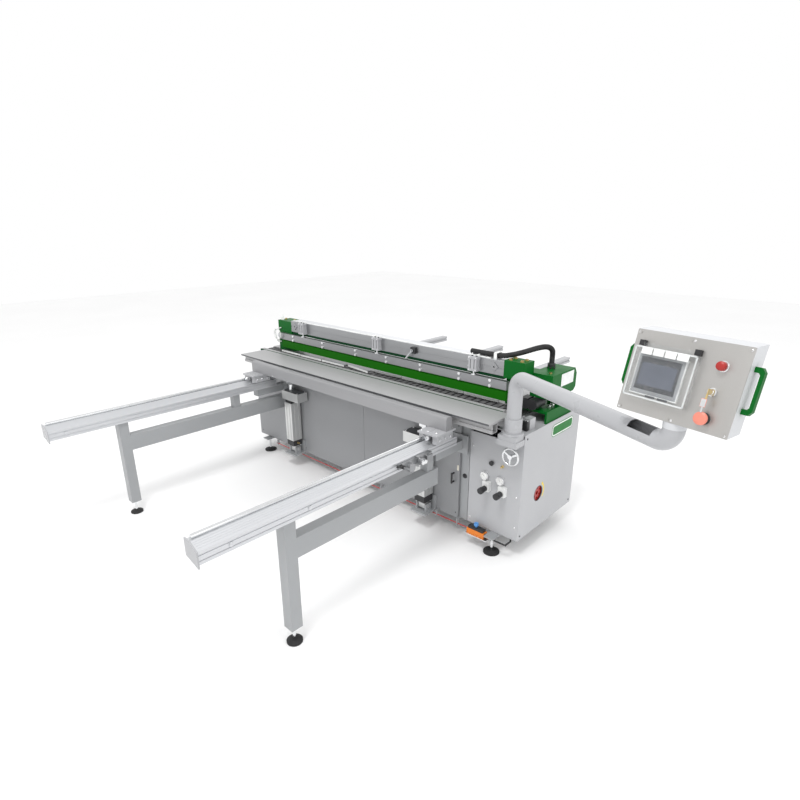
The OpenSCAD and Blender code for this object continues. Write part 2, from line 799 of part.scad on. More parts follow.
module rope_switch() {
    color("#e8701a") placed() difference() {
        union() {
            block([rope_x1, -386, 82], [1082, front_y - 2, 112]);
            block([rope_x1 + 8, -384, 112 - eps], [1074, front_y - 4, 127]);
            rod_x([1082 - eps, -372, 97], 10, 16);
            // bar that carries the switch, hung from the cabinet's foot plate
            block([rope_x1 - 6, -398, 76], [1106, front_y - 8, 82 + eps]);
            block([1094, -366, 76], [1106, front_y - 8, cab_z0 - 9.2]);
            // lead back into the cabinet's floor
            rod_x([1098 - eps, -378, 97], lead_r, 134);
            rod_y([1227, -378, 97], lead_r, 56);
            rod_z([1227, -322, 97], lead_r, 12);
        }
        rod_z([knob_c[0], knob_c[1], 112], 7.3, 20);
    }
}

module reset_knob() {
    color("#6fb2ee") placed() {
        rod_z([knob_c[0], knob_c[1], 120], 7, 19);
        rod_z([knob_c[0], knob_c[1], 138], 14, 14);
    }
}

// ---------------------------------------------------------------- end panel parts

module regulators() {
    color("#cfc7ae") placed() for (x = reg_xs) {
        rod_y([x, wall_y - 30, reg_z], 11.8, 60);
        rod_y([x, wall_y - 54, reg_z], 6 - fit, 26);
        block([x - 22, wall_y - 28, reg_z - 20], [x + 22, wall_y - 0.2, reg_z + 38]);
        rod_y([x - gauge_shift, wall_y - 16, reg_z + 68], gauge_r, 15.8);
        rod_z([x - gauge_shift, wall_y - 9, reg_z + 37], 6, 10);
    }
}

module panel_button() {
    color("#2b6fb8") placed() {
        rod_y([button_x, wall_y - 15, button_z], 14, 7);
        rod_y([button_x, wall_y - 8.5, button_z], 8.7, 20);
    }
}

module regulator_knob(x) {
    color("#17181a") placed() difference() {
        union() {
            rod_y([x, wall_y - 62, reg_z], 17, 30);
            rod_y([x, wall_y - 82, reg_z], 19, 22);
        }
        rod_y([x, wall_y - 58, reg_z], 6, 30);
        for (a = [0:30:330]) translate([x, 0, reg_z]) rotate([0, a, 0]) rod_y([19.6, wall_y - 83, 0], 2, 24);
    }
}

module regulator_knob_left() { regulator_knob(reg_xs[0]); }
module regulator_knob_right() { regulator_knob(reg_xs[1]); }

module handwheel() {
    x = wheel_c[0];
    y = wheel_c[1];
    z = wheel_c[2];
    color("#d9dadc") placed() {
        translate(wheel_c) rotate([90, 0, 0]) rotate_extrude() translate([wheel_r - 6, 0]) circle(6, $fn = 24);
        rod_y([x, y - 8, z], 13, 22);
        rod_y([x, y + 10, z], 8, wall_y - y + 18);
        for (a = [90, 210, 330]) translate([x, y, z]) rotate([0, a, 0])
            translate([0, -3, -5]) cube([wheel_r - 7, 6, 10]);
    }
}

// ---------------------------------------------------------------- operator's box

module post_sleeve() {
    color("#dcdde0") placed() {
        difference() {
            union() {
                rod_z([post[0], post[1], post_z0], 60, 12);
                rod_z([post[0], post[1], post_z0 + 12 - eps], 47, 78);
            }
            rod_z([post[0], post[1], post_z0 + 14], tube_r + fit, 130);
            for (a = [45:90:315]) rotate_about_post(a) rod_z([53.5, 0, post_z0 - 1], 3, 20);
        }
        // bracket that holds the sleeve to the cabinet
        block([1142, post[1] - 58, 712], [cab_x - sheet_t, wall_y + 40, 745]);
        block([1152, post[1] - 56, 745 - eps], [cab_x - sheet_t - 5, wall_y - 1, post_z0 + eps]);
    }
}

module rotate_about_post(a) {
    translate([post[0], post[1], 0]) rotate([0, 0, a]) children();
}

// Ring profile of the arm's tube
module tube_ring() {
    difference() {
        circle(tube_r);
        circle(tube_r - 3);
    }
}

// Swivel arm: upright, lower elbow, level run with a cable slot, end elbow
module control_arm() {
    slot_l = 116;
    slot_w = 48;
    run = arm_len - bend_top - bend_low;
    color("#e1e2e5") placed() rotate_about_post(arm_az) {
        translate([0, 0, post_z0 + 16]) linear_extrude(arm_z - bend_top - post_z0 - 16) tube_ring();
        translate([bend_top, 0, arm_z - bend_top]) rotate([90, 0, 180])
            rotate_extrude(angle = 90) translate([bend_top, 0]) tube_ring();
        difference() {
            translate([bend_top, 0, arm_z]) rotate([0, 90, 0]) linear_extrude(run) tube_ring();
            translate([arm_len - bend_low - slot_l, -slot_w * 0.75, arm_z + 12]) cube([slot_l - 4, slot_w, 30]);
        }
        translate([arm_len - bend_low, 0, arm_z + bend_low]) rotate([-90, 0, 0])
            rotate_extrude(angle = 90) translate([bend_low, 0]) tube_ring();
        translate([arm_len, 0, arm_z + bend_low]) linear_extrude(arm_end_z - arm_z - bend_low) tube_ring();
    }
}

// Frame of the control panel: x to the right, y into the box, z up the face
module on_panel() {
    translate(face_pos) rotate([0, 0, box_turn]) rotate([-box_lean, 0, 0]) children();
}

// The case as a prism with level top and bottom behind the leaning face;
// front and back are level distances from the face
module case_prism(half_w, front, back, half_z) {
    run = half_z * tan(box_lean);
    translate(face_pos) rotate([0, 0, box_turn]) along_x(-half_w, half_w) polygon([
        [front - run, -half_z], [back - run, -half_z], [back + run, half_z], [front + run, half_z]]);
}

module control_box() {
    wall = 2.5;
    half_z = box_h / 2 * cos(box_lean);
    bottom = face_pos[2] - half_z;
    color("#eceded") placed() {
        difference() {
            case_prism(box_w / 2, 3 / cos(box_lean), box_d, half_z);
            case_prism(box_w / 2 - wall, 0, box_d - wall, half_z - wall);
        }
        // neck that turns on the arm's end
        rotate_about_post(arm_az) translate([arm_len, 0, 0]) {
            rod_z([0, 0, arm_end_z + 0.3], tube_r + 1, bottom - arm_end_z - 1);
            rod_z([0, 0, bottom - 2], 28, 3);
            rod_z([0, 0, arm_end_z - 9], tube_r - 3.8, 10);
        }
        // bow handles, one on each side
        for (s = [0, 1]) on_panel() mirror([s, 0, 0]) bow_handle();
    }
}

// Bow handle on the side of the box
module bow_handle() {
    translate([box_w / 2, box_d / 2 + 10, 16]) rotate([90, 0, 0]) linear_extrude(20) difference() {
        polygon([[-eps, -78], [22, -78], [32, -64], [32, 64], [22, 78], [-eps, 78]]);
        polygon([[-1, -60], [15, -60], [20, -53], [20, 53], [15, 60], [-1, 60]]);
    }
}

module control_plate() {
    color("#b7b6b2") placed() on_panel() {
        difference() {
            translate([0, 3, 0]) rotate([90, 0, 0]) linear_extrude(3) round_rect(box_w, box_h, 3);
            rod_y([114, -1, -104], 11, 6);
            rod_y([115, -1, -14], 9, 6);
        }
        // screen bezel
        translate([-165, -8, -80]) cube([178, 8 + eps, 150]);
        // signal lamp
        rod_y([122, -18, 74], 15, 18 + eps);
        // seat of the stop button and of the key switch
        difference() {
            rod_y([114, -5, -104], 20, 5 + eps);
            rod_y([114, -6, -104], 11, 8);
        }
        difference() {
            rod_y([115, -6, -14], 14, 6 + eps);
            rod_y([115, -7, -14], 9, 9);
        }
        // hinge knuckles of the clear cover
        for (x = [-163, 38]) translate([x - 10, -16, 92]) cube([20, 16 + eps, 20]);
        for (x = [-186, 0, 186], z = [-139, 139]) rod_y([x, -2.5, z], 4.5, 2.5 + eps);
    }
}

module clear_cover() {
    x0 = -178;
    x1 = 50;
    z0 = -92;
    z1 = 90;
    depth = 26;
    color("#dfe3e6", 0.5) placed() on_panel() {
        difference() {
            translate([x0, -depth, z0]) cube([x1 - x0, depth - 0.4, z1 - z0]);
            translate([x0 + 3, -depth + 3, z0 + 3]) cube([x1 - x0 - 6, depth, z1 - z0 - 6]);
        }
        // lid lip that reaches up between the hinge knuckles
        translate([-150, -depth, z1 - eps]) cube([175, 3, 14]);
    }
}

module panel_key() {
    color("#d2c08a") placed() on_panel() {
        rod_y([115, -12, -14], 8.9, 18);
        translate([113.5, -34, -24]) cube([3, 23, 20]);
        translate([112, -33, -62]) cube([6, 2.5, 40]);
    }
}

module stop_button() {
    color("#e2574c") placed() on_panel() {
        rod_y([114, -24, -104], 10.9, 40);
        rod_y([114, -32, -104], 22, 14);
    }
}

side_panel_left();
side_panel_right();
front_panel_left();
front_panel_centre();
front_panel_right();
rear_panel();
end_deck();
base_frame();
levelling_feet();
fixed_bed();
slot_insert();
slot_covers();
heating_blade();
rear_arm_left();
rear_arm_middle();
rear_arm_right();
arm_rail_left();
arm_rail_right();
arm_frame_left();
arm_frame_right();
lift_brackets();
lift_cylinder_left();
lift_cylinder_right();
lift_rod_left();
lift_rod_right();
front_table();
gauge_beam();
carriage_left();
carriage_right();
stop_block();
stop_lever();
clamp_beam();
end_block_left();
end_block_right();
clamp_bar();
clamp_jaw();
clamp_bolts();
clamp_cylinders();
clamp_rods();
latch_lever();
drive_housing();
drive_motor();
drive_coupling();
beam_conduit();
rope_posts();
pull_rope();
rope_switch();
reset_knob();
panel_button();
regulators();
regulator_knob_left();
regulator_knob_right();
handwheel();
post_sleeve();
control_arm();
control_box();
control_plate();
clear_cover();
panel_key();
stop_button();
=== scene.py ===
from math import cos, pi, radians, sin

import bmesh
import bpy
from mathutils import Matrix, Vector


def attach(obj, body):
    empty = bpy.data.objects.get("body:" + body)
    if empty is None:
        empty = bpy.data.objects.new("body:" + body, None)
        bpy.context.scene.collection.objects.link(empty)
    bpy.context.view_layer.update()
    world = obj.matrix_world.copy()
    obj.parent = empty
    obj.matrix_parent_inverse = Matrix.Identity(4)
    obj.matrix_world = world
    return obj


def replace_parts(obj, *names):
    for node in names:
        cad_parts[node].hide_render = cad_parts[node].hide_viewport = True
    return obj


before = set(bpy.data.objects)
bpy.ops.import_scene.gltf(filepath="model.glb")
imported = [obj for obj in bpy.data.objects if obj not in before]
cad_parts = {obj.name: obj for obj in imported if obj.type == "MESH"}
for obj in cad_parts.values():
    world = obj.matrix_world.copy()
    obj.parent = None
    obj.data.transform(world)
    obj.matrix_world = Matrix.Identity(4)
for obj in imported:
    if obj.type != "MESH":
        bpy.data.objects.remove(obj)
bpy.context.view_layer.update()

# Driving sizes in metres and degrees, in the row frame.
SHIFT = Vector((-0.52493, 0.410, 0))  # from the cabinet's middle to the row's origin
CAMERA = Vector((2.576, -2.717, 1.827)) + SHIFT
CAMERA_YAW = 42.82
CAMERA_PITCH = -19.18
CAMERA_LENS = 24.08
CAMERA_SHIFT_Y = 0.0136
PANEL_AT = Vector((2.078, -0.767, 1.323)) + SHIFT  # middle of the control box's face
PANEL_TURN = -13
PANEL_LEAN = -14

# Places in the cabinet's own frame, in millimetres.
SIDE_X = 1270  # outer face of the right side panel
END_Y = -326  # face of the stepped end panel
WALL_Y = -345  # face of the front wall
LIFT_Y = -403  # middle of the lift cylinders
DRIVE_Y = -123  # middle of the side opening
DRIVE_Z = 348
GLAND = (1175, 82)  # the conduit's gland on the drive housing, seen from above
CLAMP_XS = (-795, 22, 826)  # middles of the clamp cylinders
GAUGE_XS = (1036, 1141)
GAUGE_Z = 461
RAILS = (("left", -891), ("right", 859))  # middle of each guide rail
LIFTS = (("left", -704, 1), ("right", 634, -1))  # middle of each lift, side its block leans to
RAIL_END_Y = -1984  # outer end of the guide rails


def at(x, y, z):
    """A point of the cabinet's own frame, in millimetres, as a row-frame vector."""
    return Vector((x, y, z)) / 1000 + SHIFT


# ---------------------------------------------------------------- materials

class Shader:
    """A procedural material: a principled shader with its nodes made by short calls."""

    def __init__(self, name, roughness=0.5, metallic=0.0, **sockets):
        self.mat = bpy.data.materials.new(name)
        self.mat.use_nodes = True
        self.nodes = self.mat.node_tree.nodes
        self.links = self.mat.node_tree.links
        self.bsdf = self.nodes["Principled BSDF"]
        self.bsdf.inputs["Roughness"].default_value = roughness
        self.bsdf.inputs["Metallic"].default_value = metallic
        for key, value in sockets.items():
            self.bsdf.inputs[key.replace("_", " ")].default_value = value
        self.coords = self.nodes.new("ShaderNodeTexCoord").outputs["Object"]

    def noise(self, scale, detail=3.0, stretch=(1, 1, 1)):
        mapping = self.nodes.new("ShaderNodeMapping")
        mapping.inputs["Scale"].default_value = stretch
        self.links.new(self.coords, mapping.inputs["Vector"])
        node = self.nodes.new("ShaderNodeTexNoise")
        node.inputs["Scale"].default_value = scale
        node.inputs["Detail"].default_value = detail
        self.links.new(mapping.outputs["Vector"], node.inputs["Vector"])
        return node.outputs["Fac"]

    def ramp(self, fac, stops):
        node = self.nodes.new("ShaderNodeValToRGB")
        elements = node.color_ramp.elements
        while len(elements) < len(stops):
            elements.new(0.5)
        for element, (where, colour) in zip(elements, stops):
            element.position = where
            element.color = (*colour, 1)
        self.links.new(fac, node.inputs["Fac"])
        return node.outputs["Color"]

    def spread(self, fac, low, high):
        node = self.nodes.new("ShaderNodeMapRange")
        node.inputs["From Min"].default_value = 0.3
        node.inputs["From Max"].default_value = 0.7
        node.inputs["To Min"].default_value = low
        node.inputs["To Max"].default_value = high
        self.links.new(fac, node.inputs["Value"])
        return node.outputs["Result"]

    def colour(self, output):
        self.links.new(output, self.bsdf.inputs["Base Color"])

    def roughness(self, output):
        self.links.new(output, self.bsdf.inputs["Roughness"])

    def bump(self, fac, strength, distance=0.0005):
        node = self.nodes.new("ShaderNodeBump")
        node.inputs["Strength"].default_value = strength
        node.inputs["Distance"].default_value = distance
        self.links.new(fac, node.inputs["Height"])
        self.links.new(node.outputs["Normal"], self.bsdf.inputs["Normal"])


def tone(colour, factor):
    """A lighter or darker shade of a colour."""
    return tuple(min(1.0, c * factor) for c in colour)


def painted(name, colour, rough=0.42, orange=0.25, dirt=0.93, shine=0.5):
    """Sprayed paint: fine orange peel, faint handling marks, slightly uneven gloss."""
    s = Shader(name, rough, Specular_IOR_Level=shine)
    s.colour(s.ramp(s.noise(2.3, 5), [(0.25, tone(colour, dirt)), (0.7, colour)]))
    s.roughness(s.spread(s.noise(9, 4), rough - 0.06, rough + 0.08))
    s.bump(s.noise(420, 2), orange, 0.00025)
    return s.mat


def brushed(name, colour, stretch, rough=0.32, metal=0.9, depth=0.12):
    """Metal with fine lines drawn out along one axis."""
    s = Shader(name, rough, metal)
    grain = s.noise(260, 2, stretch)
    s.colour(s.ramp(s.noise(3, 4, stretch), [(0.3, tone(colour, 0.88)), (0.7, tone(colour, 1.05))]))
    s.roughness(s.spread(grain, rough - 0.07, rough + 0.1))
    s.bump(grain, depth, 0.0002)
    return s.mat


def plastic(name, colour, rough=0.45, grain=0.2, scale=900):
    """Moulded plastic, rubber or printed film with a fine grain."""
    s = Shader(name, rough)
    s.colour(s.ramp(s.noise(14, 3), [(0.3, tone(colour, 0.86)), (0.7, tone(colour, 1.08))]))
    s.roughness(s.spread(s.noise(30, 3), rough - 0.05, rough + 0.08))
    s.bump(s.noise(scale, 2), grain, 0.0002)
    return s.mat


def polished(name, colour, rough=0.1):
    """Plated or polished metal."""
    s = Shader(name, rough, 1.0)
    s.colour(s.ramp(s.noise(25, 3), [(0.3, tone(colour, 0.93)), (0.7, colour)]))
    s.roughness(s.spread(s.noise(60, 3), rough, rough + 0.08))
    return s.mat


def clear(name):
    s = Shader(name, 0.06, Transmission_Weight=0.9, IOR=1.2, Alpha=0.28)
    s.colour(s.ramp(s.noise(8, 2), [(0.3, (0.86, 0.89, 0.91)), (0.7, (0.93, 0.95, 0.96))]))
    return s.mat


def screen_glass(name):
    s = Shader(name, 0.18, Coat_Weight=0.6)
    s.colour(s.ramp(s.noise(5, 2), [(0.3, (0.075, 0.085, 0.115)), (0.75, (0.105, 0.118, 0.155))]))
    return s.mat


ALONG_X = (0.02, 1, 1)
ALONG_Y = (1, 0.02, 1)
MAT = {
    "panel": painted("panel", (0.46, 0.465, 0.48)),
    "wall": painted("wall", (0.27, 0.275, 0.285), 0.34),
    "frame": painted("frame_paint", (0.33, 0.34, 0.35), 0.34),
    "white": painted("white_paint", (0.43, 0.435, 0.45), 0.30, 0.15),
    "case": painted("case_paint", (0.60, 0.61, 0.63), 0.4, 0.4),
    "dark": painted("dark_paint", (0.10, 0.104, 0.11), 0.45),
    "green": painted("green_paint", (0.0, 0.115, 0.012), 0.42, 0.10, shine=0.15),
    "jaw": painted("jaw_paint", (0.006, 0.125, 0.0), 0.46, 0.10, shine=0.10),
    "deep_green": painted("deep_green_paint", (0.0, 0.050, 0.014), 0.45, shine=0.15),
    "steel_x": brushed("steel_along_x", (0.36, 0.365, 0.375), ALONG_X, 0.36),
    "ground_x": brushed("ground_along_x", (0.44, 0.44, 0.445), ALONG_X, 0.46, 0.25),
    "cover": brushed("cover_steel", (0.30, 0.31, 0.33), ALONG_X, 0.36),
    "alu_x": brushed("anodised_along_x", (0.72, 0.73, 0.75), ALONG_X, 0.40, 0.75),
    "alu_y": brushed("anodised_along_y", (0.62, 0.63, 0.65), ALONG_Y, 0.40, 0.60),
    "alu_z": brushed("anodised_along_z", (0.66, 0.665, 0.66), (1, 1, 0.02), 0.36, 0.8),
    "stainless": brushed("stainless", (0.47, 0.46, 0.445), (1, 1, 0.02), 0.38, 0.7),
    "chrome": polished("chrome", (0.78, 0.79, 0.80)),
    "bolt": polished("bright_bolt", (0.86, 0.86, 0.87), 0.22),
    "brass": polished("brass", (0.72, 0.55, 0.26), 0.25),
    "black": plastic("black_plastic", (0.022, 0.022, 0.024), 0.42),
    "rubber": plastic("black_rubber", (0.016, 0.016, 0.017), 0.68, 0.5, 500),
    "orange": plastic("orange_plastic", (0.80, 0.22, 0.02), 0.36),
    "blue": plastic("blue_plastic", (0.10, 0.32, 0.72), 0.34),
    "red": plastic("red_plastic", (0.40, 0.022, 0.018), 0.34),
    "coral": plastic("coral_plastic", (0.80, 0.25, 0.18), 0.35),
    "rope": plastic("red_rope", (0.50, 0.03, 0.03), 0.4, 0.4, 700),
    "yellow": plastic("yellow_film", (0.82, 0.62, 0.03), 0.4),
    # Also used as a painted highlight: the white film on the steel slot covers' front lips stands for their
    # bright reflection.
    "label": plastic("label_film_and_painted_highlight", (0.82, 0.83, 0.82), 0.35, 0.05),
    "label_green": plastic("label_green_film", (0.004, 0.17, 0.02), 0.55, 0.05),
    "ivory": plastic("ivory_plastic", (0.74, 0.70, 0.60), 0.4),
    "dial": plastic("dial_face", (0.85, 0.85, 0.84), 0.3, 0.05),
    "hose": plastic("clear_hose", (0.62, 0.64, 0.64), 0.25),
    "beam": brushed("grey_anodised_along_x", (0.36, 0.36, 0.37), ALONG_X, 0.40, 0.45),
    "smoke": plastic("smoked_plastic", (0.075, 0.078, 0.085), 0.25, 0.05),
    "clear": clear("clear_acrylic"),
    "screen": screen_glass("screen_glass"),
}

DRESS = {
    "panel": ["side_panel_left", "side_panel_right", "rear_panel", "front_panel_right",
              "rear_arm_left", "rear_arm_middle", "rear_arm_right", "end_deck"],
    "wall": ["front_panel_left", "front_panel_centre"],
    "frame": ["base_frame", "arm_frame_left", "arm_frame_right", "lift_brackets", "rope_posts"],
    "rubber": ["levelling_feet", "beam_conduit"],
    "black": ["slot_insert", "stop_lever", "drive_motor", "panel_button", "regulator_knob_left",
              "regulator_knob_right"],
    "cover": ["slot_covers"],
    "ground_x": ["front_table", "fixed_bed"],
    "steel_x": ["clamp_beam", "clamp_bar", "stop_block"],
    "dark": ["heating_blade"],
    "alu_y": ["arm_rail_left", "arm_rail_right"],
    "beam": ["gauge_beam"],
    "alu_z": ["lift_cylinder_left", "lift_cylinder_right"],
    "chrome": ["lift_rod_left", "lift_rod_right", "clamp_rods", "handwheel", "latch_lever"],
    "bolt": ["clamp_bolts"],
    "white": ["carriage_left", "carriage_right", "clamp_cylinders", "post_sleeve", "control_arm"],
    "case": ["control_box"],
    "green": ["end_block_left", "end_block_right", "drive_housing"],
    "jaw": ["clamp_jaw"],
    "orange": ["rope_switch"],
    "blue": ["reset_knob"],
    "red": ["drive_coupling"],
    "coral": ["stop_button"],
    "rope": ["pull_rope"],
    "brass": ["panel_key"],
    "label": ["regulators"],
    "stainless": ["control_plate"],
    "clear": ["clear_cover"],
}


def dress_cad():
    """Gives each CAD node its first material."""
    for key, nodes in DRESS.items():
        for name in nodes:
            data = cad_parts[name].data
            data.materials.clear()
            data.materials.append(MAT[key])


# ---------------------------------------------------------------- stage

def make_floor():
    bm = bmesh.new()
    bmesh.ops.create_grid(bm, x_segments=8, y_segments=8, size=14)
    data = bpy.data.meshes.new("floor")
    bm.to_mesh(data)
    bm.free()
    floor = bpy.data.objects.new("floor", data)
    bpy.context.scene.collection.objects.link(floor)
    s = Shader("floor_paint", 0.75)
    s.colour(s.ramp(s.noise(0.8, 2), [(0.3, (0.95, 0.95, 0.95)), (0.7, (0.97, 0.97, 0.97))]))
    data.materials.append(s.mat)


def area_light(name, where, towards, size, power):
    data = bpy.data.lights.new(name, "AREA")
    data.shape = "RECTANGLE"
    data.size, data.size_y = size
    data.energy = power
    light = bpy.data.objects.new(name, data)
    bpy.context.scene.collection.objects.link(light)
    light.location = where
    light.rotation_euler = (Vector(towards) - Vector(where)).to_track_quat("-Z", "Y").to_euler()


def make_lights():
    world = bpy.data.worlds.new("studio")
    world.use_nodes = True
    background = world.node_tree.nodes["Background"]
    background.inputs["Color"].default_value = (1, 1, 1, 1)
    background.inputs["Strength"].default_value = 1.0
    bpy.context.scene.world = world
    area_light("key", (0.9, -2.7, 5.6), (0, 0, 0.6), (1.5, 1.2), 120)
    area_light("fill", (5.0, -0.5, 3.0), (0, 0, 0.8), (3, 3), 26)
    area_light("back", (-2, 4.5, 4.5), (0, 0, 0.8), (5, 3), 30)


def make_camera():
    data = bpy.data.cameras.new("camera")
    data.lens = CAMERA_LENS
    data.sensor_width = 36
    data.shift_y = CAMERA_SHIFT_Y
    data.clip_end = 60
    camera = bpy.data.objects.new("camera", data)
    bpy.context.scene.collection.objects.link(camera)
    camera.location = CAMERA
    camera.rotation_euler = (radians(90 + CAMERA_PITCH), 0, radians(CAMERA_YAW))
    bpy.context.scene.camera = camera
    bpy.context.scene.view_settings.view_transform = "Standard"


# ---------------------------------------------------------------- mesh helpers

def piece(name, bm, keys, body, angle=35):
    """A finished mesh piece with its materials, smooth where its faces meet softly."""
    data = bpy.data.meshes.new(name)
    bmesh.ops.recalc_face_normals(bm, faces=bm.faces)
    bm.to_mesh(data)
    bm.free()
    for key in keys:
        data.materials.append(MAT[key])
    data.shade_smooth()
    data.set_sharp_from_angle(angle=radians(angle))
    obj = bpy.data.objects.new(name, data)
    bpy.context.scene.collection.objects.link(obj)
    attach(obj, body)
    return obj


def add_block(bm, lo, hi, bevel=0.0, slot=0, frame_to=None):
    """A box with bevelled edges, from its low corner to its high one, optionally placed by a matrix."""
    lo, hi = Vector(lo), Vector(hi)
    size = hi - lo
    matrix = Matrix.Translation((lo + hi) / 2) @ Matrix.Diagonal((*size, 1))
    verts = bmesh.ops.create_cube(bm, size=1, matrix=matrix)["verts"]
    faces = list({f for v in verts for f in v.link_faces})
    if bevel:
        edges = list({e for v in verts for e in v.link_edges})
        made = bmesh.ops.bevel(bm, geom=edges, offset=bevel, segments=3, profile=0.5,
                               affect="EDGES", clamp_overlap=True)
        faces = list({f for f in faces if f.is_valid} | set(made["faces"]))
    for f in faces:
        f.material_index = slot
    if frame_to is not None:
        bmesh.ops.transform(bm, matrix=frame_to, verts=list({v for f in faces for v in f.verts}))


def add_turned(bm, base, direction, profile, slot=0, segments=40):
    """A lathe shape: profile is (radius, height) pairs along direction from base.

    A profile that ends where it starts makes a ring, and any other one is closed by caps.
    """
    closed = profile[0] == profile[-1]
    if closed:
        profile = profile[:-1]
    axis = Vector(direction).normalized()
    side = axis.orthogonal().normalized()
    other = axis.cross(side)
    rings = []
    for radius, height in profile:
        centre = Vector(base) + axis * height
        if radius < 1e-6:
            rings.append([bm.verts.new(centre)])
            continue
        rings.append([bm.verts.new(centre + radius * (cos(a) * side + sin(a) * other))
                      for a in (2 * pi * k / segments for k in range(segments))])
    for low, high in zip(rings, rings[1:] + rings[:1] if closed else rings[1:]):
        for k in range(segments):
            n = (k + 1) % segments
            corners = [low[k % len(low)], low[n % len(low)], high[n % len(high)], high[k % len(high)]]
            corners = list(dict.fromkeys(corners))
            if len(corners) > 2:
                bm.faces.new(corners).material_index = slot
    for ring in () if closed else (rings[0], rings[-1]):
        if len(ring) > 2:
            bm.faces.new(ring).material_index = slot


def add_sweep(bm, centres, radius, slot=0, sides=16):
    """A round tube along a list of centres; radius is a number or one for each ring."""
    rings = []
    last = len(centres) - 1
    side = None
    for k, centre in enumerate(centres):
        ahead = (centres[min(k + 1, last)] - centres[max(k - 1, 0)]).normalized()
        side = ahead.orthogonal() if side is None else side - side.dot(ahead) * ahead
        side.normalize()
        other = ahead.cross(side)
        r = radius[k] if isinstance(radius, list) else radius
        rings.append([bm.verts.new(centre + r * (cos(a) * side + sin(a) * other))
                      for a in (2 * pi * j / sides for j in range(sides))])
    for low, high in zip(rings, rings[1:]):
        for j in range(sides):
            n = (j + 1) % sides
            bm.faces.new([low[j], low[n], high[n], high[j]]).material_index = slot
    bm.faces.new(rings[0]).material_index = slot
    bm.faces.new(rings[-1]).material_index = slot


def smooth_path(points, steps):
    """Catmull-Rom curve through the points."""
    out = []
    pts = [points[0] * 2 - points[1], *points, points[-1] * 2 - points[-2]]
    for a, b, c, d in zip(pts, pts[1:], pts[2:], pts[3:]):
        for k in range(steps):
            t = k / steps
            out.append(0.5 * (2 * b + (c - a) * t + (2 * a - 5 * b + 4 * c - d) * t ** 2
                              + (3 * b - a - 3 * c + d) * t ** 3))
    return out + [points[-1]]


def bevel_node(name, width=0.0012):
    """Softens the sharp edges of a CAD node for the eye."""
    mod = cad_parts[name].modifiers.new("soft_edges", "BEVEL")
    mod.width = width
    mod.segments = 2
    mod.limit_method = "ANGLE"
    mod.angle_limit = radians(50)
    mod.use_clamp_overlap = True


def paint(name, key, test):
    """Gives a second material to those faces of a CAD node whose centre passes the test."""
    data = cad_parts[name].data
    data.materials.append(MAT[key])
    index = len(data.materials) - 1
    for poly in data.polygons:
        if test((poly.center - SHIFT) * 1000, poly.normal):
            poly.material_index = index


# ---------------------------------------------------------------- details

PANEL = (Matrix.Translation(PANEL_AT) @ Matrix.Rotation(radians(PANEL_TURN), 4, "Z")
         @ Matrix.Rotation(radians(PANEL_LEAN), 4, "X"))
OUT = PANEL.to_3x3() @ Vector((0, -1, 0))


def on_panel(x, y, z):
    """A point of the control box's face, in millimetres, as a row-frame vector."""
    return PANEL @ (Vector((x, y, z)) / 1000)


def panel_coords(c):
    """Panel-frame millimetres of a point given in cabinet millimetres."""
    return PANEL.inverted() @ (c / 1000 + SHIFT) * 1000


def mm(*values):
    return [v / 1000 for v in values]


def mm_profile(pairs):
    """A lathe profile given in millimetres."""
    return [(r / 1000, h / 1000) for r, h in pairs]


def make_screws(name, places, direction, radius, body, key="bolt"):
    """Domed screw heads with a driver recess."""
    bm = bmesh.new()
    for p in places:
        add_turned(bm, p, direction, [(radius, -0.0004), (radius, 0.0008), (radius * 0.85, 0.0018),
                                      (radius * 0.4, 0.0024), (radius * 0.4, 0.0012), (0, 0.0012)])
    piece(name, bm, [key], body)


